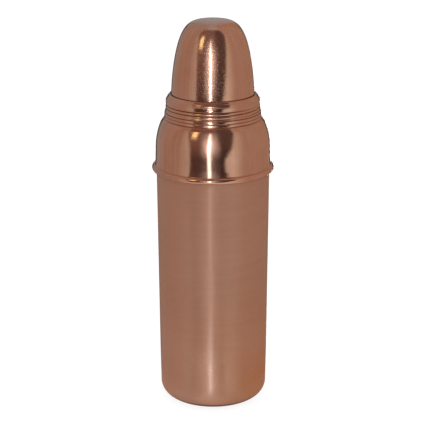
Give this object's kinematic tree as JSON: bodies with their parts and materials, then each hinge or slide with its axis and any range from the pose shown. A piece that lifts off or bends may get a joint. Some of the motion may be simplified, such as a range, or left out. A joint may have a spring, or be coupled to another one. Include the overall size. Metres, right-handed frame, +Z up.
{
  "type": "copper water bottle",
  "caption": "Slender copper water bottle shaped like a vacuum flask: satin body, rolled bead, polished shoulder and a domed screw cap on a rolled thread.",
  "frame": {"origin": "centre of the base, on the surface that the bottle stands on", "axes": "+Z up along the bottle's axis; the bottle is round, so +X and -Y are free, with -Y taken as the front"},
  "size_m": [0.0864, 0.0864, 0.277],
  "materials": {
    "satin_copper": "copper with a fine satin brushing round the body",
    "polished_copper": "copper polished to a mirror, with fine scratches",
    "seat_brass": "plain turned brass",
    "gasket_silicone": "soft matt food-grade silicone"
  },
  "bodies": {
    "bottle": {"body_wall": "satin_copper", "base_cup": "satin_copper", "shoulder_shell": "polished_copper", "neck_ring": "polished_copper"},
    "gasket": {"cap_gasket": "gasket_silicone"},
    "seat": {"cap_seat_ring": "seat_brass"},
    "cap": {"cap_collar": "polished_copper", "cap_dome": "polished_copper"}
  },
  "joints": [
    {"name": "cap_lift_off", "type": "slide", "parent": "bottle", "child": "gasket", "axis": [0, 0, 1], "range_m": [0, 0.09]},
    {"name": "cap_thread_lift", "type": "slide", "parent": "gasket", "child": "seat", "axis": [0, 0, 1], "range_m": [0, 0.00575]},
    {"name": "cap_turn", "type": "hinge", "parent": "seat", "child": "cap", "pos_m": [0, 0, 0.2128], "axis": [0, 0, 1], "range_deg": [0, 900]}
  ],
  "couplings": [
    {"joint": "cap_thread_lift", "follows": "cap_turn", "m_per_rad": 0.00036606}
  ]
}
